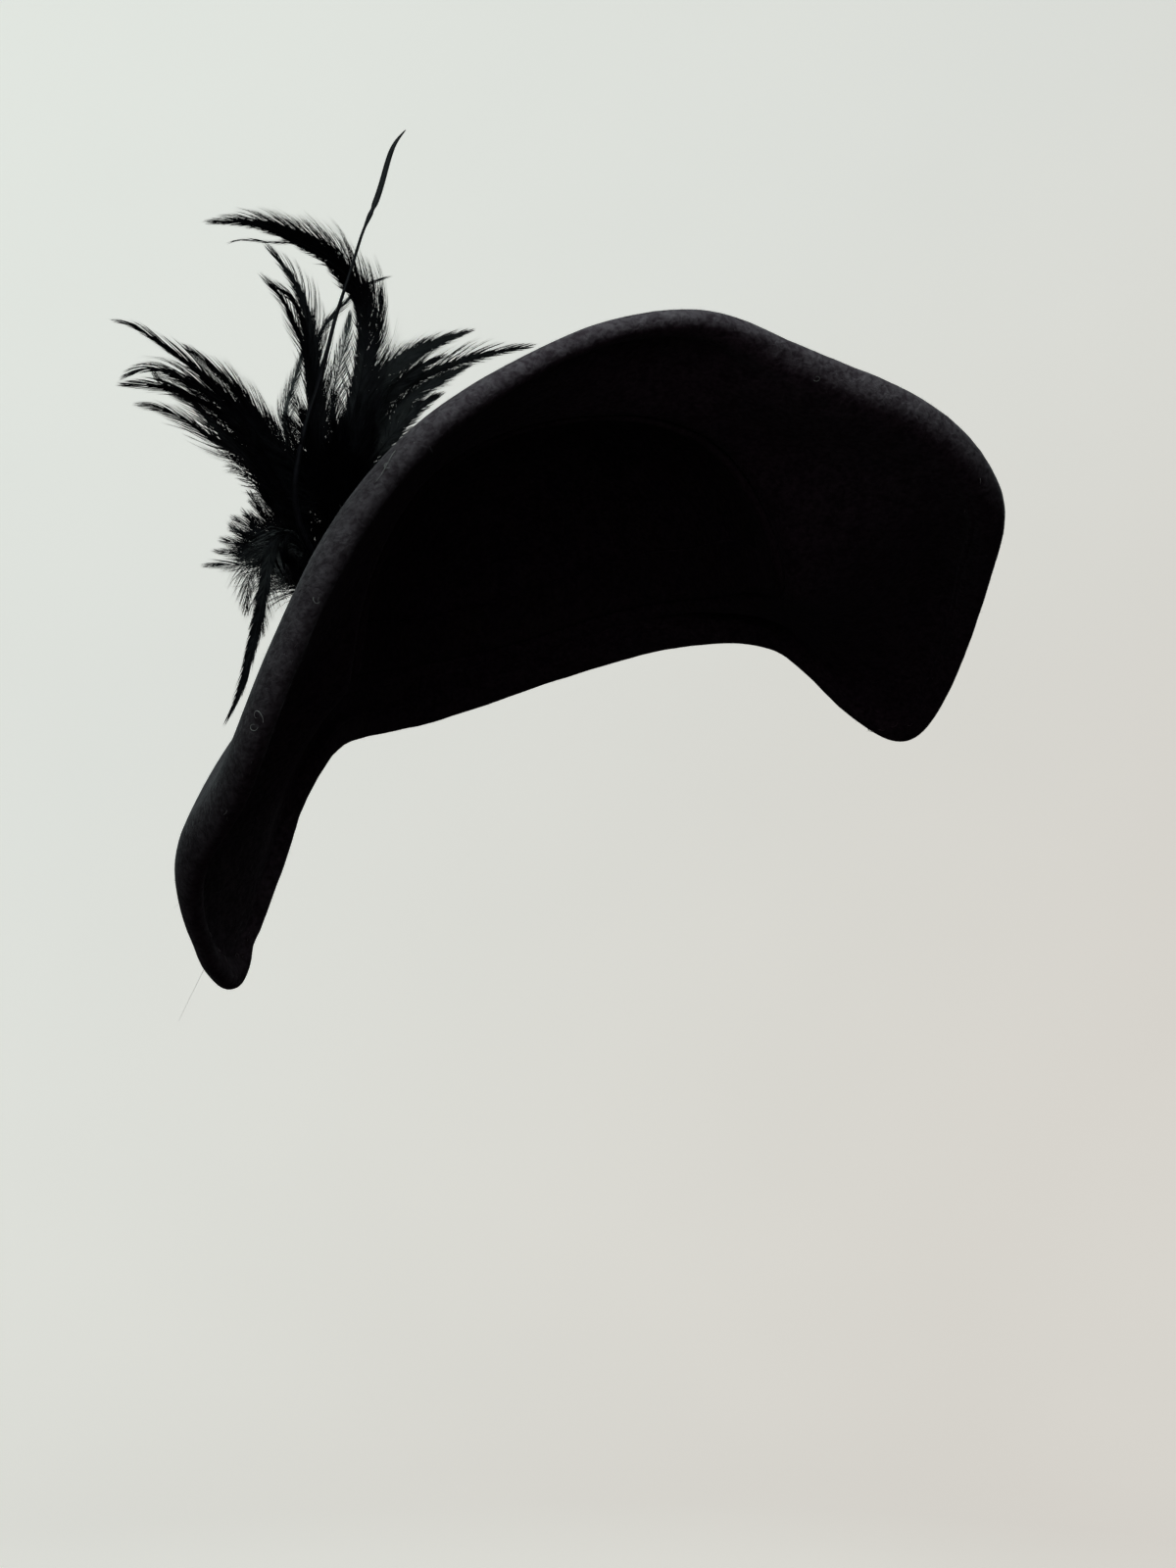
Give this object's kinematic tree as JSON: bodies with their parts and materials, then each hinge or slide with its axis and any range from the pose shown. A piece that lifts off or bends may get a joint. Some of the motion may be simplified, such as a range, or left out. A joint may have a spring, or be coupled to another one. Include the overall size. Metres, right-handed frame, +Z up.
{
  "type": "tilt hat",
  "caption": "Black wool felt tilt hat with a wide drooping brim, a folded headband and a feather cluster with a tall quill.",
  "frame": {"origin": "middle of the head opening, where the hat sits on the head", "axes": "+Z up, the wearer faces -Y, +X at the wearer's left"},
  "size_m": [0.3018, 0.2085, 0.2777],
  "materials": {
    "black_wool_felt": "matte wool felt with a short nap",
    "black_band_felt": "matte folded felt",
    "black_feather": "feather barbs with a soft sheen",
    "dark_quill": "stripped feather shaft, satin"
  },
  "bodies": {
    "root": {"felt_body": "black_wool_felt", "headband": "black_band_felt", "feather_pad": "black_wool_felt", "upright_plumes": "black_feather", "crown_plumes": "black_feather", "side_plumes": "black_feather", "hackle_tuft": "black_feather", "quill_spike": "dark_quill"}
  },
  "joints": []
}
